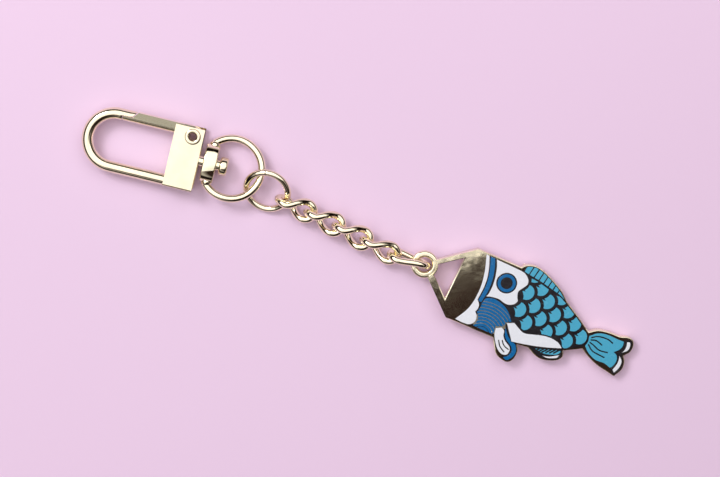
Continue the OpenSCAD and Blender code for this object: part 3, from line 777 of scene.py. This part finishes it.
class CHARM_OT_links(bpy.types.Operator):
    """The curb links: each bent and twisted shape is made once, and every link is a turned copy of its
    shape
    """

    bl_idname = "charm.links"
    bl_label = "Curb links"

    def execute(self, context):
        sizes = context.scene.charm_chain
        made = {}
        for number in range(5):
            shape = (LINK_ROLL[number], LINK_TWIST[number])
            if shape not in made:
                made[shape] = wire(link_line(sizes, *shape), sizes.link_wire, True, 24)
            take(made[shape])
            bpy.ops.object.duplicate()
            link = bpy.context.object
            link.matrix_world = (Matrix.Translation(link_centre(number, sizes))
                                 @ Matrix.Rotation(math.radians(LINK_HEADING[number]), 4, "Z"))
            name = "link_%d" % (number + 1)
            complete(link, "Curb_" + name, name, ["chain_" + name], "gold_polished", 60)
        for pattern in made.values():
            bpy.data.objects.remove(pattern, do_unlink=True)
        return {"FINISHED"}


# ---- charm ----
ENAMELS = {
    "enamel_white": ("collar_white", "face_white", "belly_fin", "pectoral_white", "anal_white",
                     "tail_white"),
    "enamel_blue": ("collar_blue", "eye_blue", "gill_blue", "pectoral_blue"),
    "enamel_teal": ("scales_teal", "dorsal_fin", "anal_teal", "tail_teal"),
    "enamel_black": ("eye_pupil", "scale_ground", "anal_ground", "tail_ground"),
}


# The charm's own directions: out of its face, across it, and along its middle line
CHARM_UP = Vector(JOINTS["charm_turn"]["axis"]).normalized()
CHARM_HEADING = -11
CHARM_ACROSS = CHARM_UP.cross(heading(CHARM_HEADING)).normalized()
CHARM_ALONG = CHARM_ACROSS.cross(CHARM_UP)
# How far the middle of the charm's loop lies back from the joint charm_turn
LOOP_BACK = 0.55 * MM
# Where the mouth's gold ends, as (across, along) in millimetres
COLLAR_EDGE = ((-6.7, 9.25), (-3.75, 10.65), (-0.4, 11.0), (2.9, 10.55), (6.45, 9.35))
# The gill's lines, in millimetres: the centre of their arcs, the arcs' least and greatest radius, and
# the least and greatest place along the charm and across it
GILL_ALONG, GILL_ACROSS = 14.65, -7.65
GILL_NEAR, GILL_FAR = 1.8, 6.6
GILL_BOX = ((12.6, 18.2), (-6.3, -1))
# The plate's outer walls are taller than this, and its pockets shallower
TALL = 1.2 * MM


def charm_place(point):
    """A point as millimetres along and across the charm, from the middle of its loop."""
    loop = joint_place("charm_turn") - heading(LINK_HEADING[-1]) * LOOP_BACK
    from_loop = point - loop
    return from_loop.dot(CHARM_ALONG) / MM, from_loop.dot(CHARM_ACROSS) / MM


def collar_edge(across):
    """How far along the charm the mouth's gold ends, at a place across it."""
    for (y0, x0), (y1, x1) in zip(COLLAR_EDGE, COLLAR_EDGE[1:]):
        if across <= y1:
            return x0 + (x1 - x0) * max(0, across - y0) / (y1 - y0)
    return COLLAR_EDGE[-1][1]


def line_finish(face, rims):
    """The finish of a face of the plate: 0 is polished, 1 a black line, 2 one of the gill's dull lines."""
    if face.normal.dot(CHARM_UP) < 0.999 or any(v in rims for v in face.vertices):
        return 0
    along, across = charm_place(face.center)
    reach = math.hypot(along - GILL_ALONG, across - GILL_ACROSS)
    inside = all(low < value < high for value, (low, high) in zip((along, across), GILL_BOX))
    if inside and GILL_NEAR < reach < GILL_FAR:
        return 2
    return 1 if along > collar_edge(across) + 0.08 else 0


class CHARM_OT_plate(bpy.types.Operator):
    """The charm's plate, its outer edges rounded and its pockets left sharp"""

    bl_idname = "charm.plate"
    bl_label = "Charm plate"

    def execute(self, context):
        plate = node_copy("charm_plate", clean=False)
        mesh = plate.data
        depth = {}
        for face in mesh.polygons:
            lowest = min(mesh.vertices[v].co.z for v in face.vertices)
            highest = max(mesh.vertices[v].co.z for v in face.vertices)
            for key in face.edge_keys:
                depth.setdefault(key, []).append((highest - lowest, abs(face.normal.z)))
        weight = mesh.attributes.new("bevel_weight_edge", "FLOAT", "EDGE")
        for edge in mesh.edges:
            sides = depth.get(edge.key, [])
            wall = [s for s in sides if s[1] < 0.3]
            flat = [s for s in sides if s[1] > 0.9]
            if len(sides) == 2 and len(wall) == 1 and len(flat) == 1 and wall[0][0] > TALL:
                weight.data[edge.index].value = 1.0
        rims = {v for e in mesh.edges if weight.data[e.index].value > 0.5 for v in e.vertices}
        lines = [line_finish(face, rims) for face in mesh.polygons]
        mesh.attributes.new("line_finish", "INT", "FACE").data.foreach_set("value", lines)
        sizes = context.scene.charm_plate
        apply_modifier(plate, "BEVEL", width=sizes.rim_round, segments=3, limit_method="WEIGHT",
                       use_clamp_overlap=False)
        complete(plate, "Charm_plate", "charm", ["charm_plate"], "gold_polished", 35, level=CHARM_UP)
        # The level tops of the gold lines past the mouth's edge are coloured black with the black enamel's
        # material, and the gill's lines take the dull satin gold
        plate.data.materials.append(material("enamel_black"))
        plate.data.materials.append(material("gold_satin"))
        for face, mark in zip(plate.data.polygons, plate.data.attributes["line_finish"].data):
            face.material_index = mark.value
        plate.data.attributes.remove(plate.data.attributes["line_finish"])
        return {"FINISHED"}


class CHARM_OT_enamel(bpy.types.Operator):
    """The enamel fills, level with the gold lines. All but the scales have rounded edges"""

    bl_idname = "charm.enamel"
    bl_label = "Enamel"

    def execute(self, context):
        sizes = context.scene.charm_plate
        for slot, nodes in ENAMELS.items():
            for node in nodes:
                fill = node_copy(node, clean=False)
                if not node.startswith("scale"):
                    apply_modifier(fill, "BEVEL", width=sizes.enamel_edge, segments=2,
                                   limit_method="ANGLE", angle_limit=math.radians(60),
                                   use_clamp_overlap=False)
                complete(fill, "Enamel_" + node, "charm", [node], slot, 35, level=CHARM_UP)
        return {"FINISHED"}


# ---- stage ----
IMAGE_RIGHT = Vector((0.97093, 0.23938, 0))
IMAGE_UP = Vector((-0.23938, 0.97093, 0))
VIEW_WIDTH = 130.3 * MM
LENS = 100.0
SENSOR = 36.0
TILT = math.radians(9.2)
FLOOR_SIZE = 3
FLOOR_GAP = 0.02 * MM
# The room and its ceiling panel are turned this much from the picture's own directions
ROOM_TURN = math.radians(24)
# The room's tint is darkest within the first angle of the spot's middle, and pale beyond the second
SPOT_LEAN, SPOT_DARK, SPOT_PALE = math.radians(33), math.radians(22), math.radians(34)


def area_light(name, place, target, width, height, power, colour, right=IMAGE_RIGHT):
    """A soft rectangular light aimed at a point."""
    clear_selection()
    bpy.ops.object.light_add(type="AREA", location=place)
    light = bpy.context.object
    light.name = name
    light.data.shape = "RECTANGLE"
    light.data.size = width
    light.data.size_y = height
    light.data.energy = power
    light.data.color = colour
    back = (Vector(place) - Vector(target)).normalized()
    right = (right - back * right.dot(back)).normalized()
    light.rotation_euler = Matrix((right, back.cross(right), back)).transposed().to_euler()
    return light


class CHARM_OT_stage(bpy.types.Operator):
    """The sheet of paper, the soft lights and the camera"""

    bl_idname = "charm.stage"
    bl_label = "Stage"

    def execute(self, context):
        scene = context.scene
        low, high = Vector(CAD_BOX[0]), Vector(CAD_BOX[1])
        middle = Vector(((low.x + high.x) / 2, (low.y + high.y) / 2, low.z))
        target = middle + Vector((-0.16 * MM, 1.36 * MM, 2 * MM))
        clear_selection()
        under = middle - Vector((0, 0, FLOOR_GAP))
        bpy.ops.mesh.primitive_grid_add(x_subdivisions=8, y_subdivisions=8, size=FLOOR_SIZE, location=under)
        floor = bpy.context.object
        floor.name = "Paper"
        bpy.ops.object.transform_apply(location=True, rotation=True, scale=True)
        mat, tree, shader, coords = new_material("Pale paper")
        colour = scene.charm_finish.paper
        tint = noise(tree, coords, 0.006, 2)
        tones = two_tones(tree, tint, shade(colour, 0.985), shade(colour, 1.015))
        tree.links.new(tones, shader.inputs["Base Color"])
        tree.links.new(bump(tree, noise(tree, coords, 2.2, 2), 0.01 * MM), shader.inputs["Normal"])
        shader.inputs["Roughness"].default_value = 0.75
        floor.data.materials.append(mat)
        world = bpy.data.worlds.new("Room")
        world.use_nodes = True
        turn = Matrix.Rotation(ROOM_TURN, 3, "Z")
        room = world.node_tree
        background = next(n for n in room.nodes if n.type == "BACKGROUND")
        background.inputs["Strength"].default_value = 0.47
        sky = room.nodes.new("ShaderNodeTexCoord")
        toward = room.nodes.new("ShaderNodeVectorMath")
        toward.operation = "DOT_PRODUCT"
        near_side = turn @ -IMAGE_UP
        toward.inputs[1].default_value = (near_side * math.sin(SPOT_LEAN)
                                          + Vector((0, 0, math.cos(SPOT_LEAN))))
        room.links.new(sky.outputs["Generated"], toward.inputs[0])
        ramp = room.nodes.new("ShaderNodeValToRGB")
        ramp.color_ramp.elements[0].position = math.cos(SPOT_PALE)
        ramp.color_ramp.elements[0].color = (0.95, 0.9, 0.88, 1)
        ramp.color_ramp.elements[1].position = math.cos(SPOT_DARK)
        ramp.color_ramp.elements[1].color = (0.06, 0.035, 0.03, 1)
        room.links.new(toward.outputs["Value"], ramp.inputs["Fac"])
        height = room.nodes.new("ShaderNodeSeparateXYZ")
        room.links.new(sky.outputs["Generated"], height.inputs["Vector"])
        belt = room.nodes.new("ShaderNodeValToRGB")
        # A dark belt low round the room, pale below it and white above
        pale, dark = (1, 0.9, 0.85), (0.02, 0.012, 0.012)
        for position, tone in ((0.12, pale), (0.18, dark), (0.5, dark), (0.6, (1, 1, 1))):
            stop = belt.color_ramp.elements.new(position)
            stop.color = (*tone, 1)
        belt.color_ramp.elements[0].color = (*pale, 1)
        room.links.new(height.outputs["Z"], belt.inputs["Fac"])
        both = room.nodes.new("ShaderNodeVectorMath")
        both.operation = "MULTIPLY"
        room.links.new(ramp.outputs["Color"], both.inputs[0])
        room.links.new(belt.outputs["Color"], both.inputs[1])
        room.links.new(both.outputs["Vector"], background.inputs["Color"])
        scene.world = world
        scene.view_settings.view_transform = "Standard"
        # The ceiling panel is what the flat gold mirrors: it ends a little past overhead on the near side
        ceiling, wide = 0.4, 0.9
        near, far = 0.105, 0.6
        over = target + (turn @ IMAGE_UP) * ((far - near) / 2)
        area_light("Ceiling panel", over + Vector((0, 0, ceiling)), over, wide, far + near, 2.2,
                   (1, 0.99, 0.97), turn @ IMAGE_RIGHT)
        area_light("Window", target + IMAGE_UP * 0.5 - IMAGE_RIGHT * 0.45 + Vector((0, 0, 0.7)), target,
                   0.3, 0.3, 3.4, (0.98, 0.98, 1))
        distance = VIEW_WIDTH * LENS / SENSOR
        clear_selection()
        bpy.ops.object.camera_add()
        camera = bpy.context.object
        camera.name = "Camera"
        camera.data.lens = LENS
        camera.data.sensor_width = SENSOR
        camera.data.dof.use_dof = False
        camera.data.clip_start = 0.005
        back = Vector((0, 0, 1)) * math.cos(TILT) + IMAGE_UP * math.sin(TILT)
        up = IMAGE_UP * math.cos(TILT) - Vector((0, 0, 1)) * math.sin(TILT)
        camera.location = target + back * distance
        camera.rotation_euler = Matrix((IMAGE_RIGHT, up, back)).transposed().to_euler()
        scene.camera = camera
        return {"FINISHED"}


OPERATORS = (CHARM_OT_stage, CHARM_OT_hook, CHARM_OT_housing, CHARM_OT_gate, CHARM_OT_rivet, CHARM_OT_stem,
             CHARM_OT_eye, CHARM_OT_jump_ring, CHARM_OT_links, CHARM_OT_plate, CHARM_OT_enamel)


class CHARM_PT_panel(bpy.types.Panel):
    """Sizes, colours and steps of the key charm"""

    bl_idname = "CHARM_PT_panel"
    bl_label = "Key charm"
    bl_space_type = "VIEW_3D"
    bl_region_type = "UI"
    bl_category = "Charm"

    def draw(self, context):
        layout = self.layout
        for name, group in GROUPS:
            box = layout.box()
            box.label(text=group.__doc__)
            for prop in group.__annotations__:
                box.prop(getattr(context.scene, name), prop)
        for operator in OPERATORS:
            layout.operator(operator.bl_idname)


CLASSES = tuple(group for _, group in GROUPS) + OPERATORS + (CHARM_PT_panel,)


def register():
    for cls in CLASSES:
        bpy.utils.register_class(cls)
    for name, group in GROUPS:
        setattr(bpy.types.Scene, name, bpy.props.PointerProperty(type=group))


def unregister():
    for name, _ in GROUPS:
        delattr(bpy.types.Scene, name)
    for cls in reversed(CLASSES):
        bpy.utils.unregister_class(cls)


def main():
    register()
    for operator in OPERATORS:
        group, name = operator.bl_idname.split(".")
        getattr(getattr(bpy.ops, group), name)()


if __name__ == "__main__":
    main()
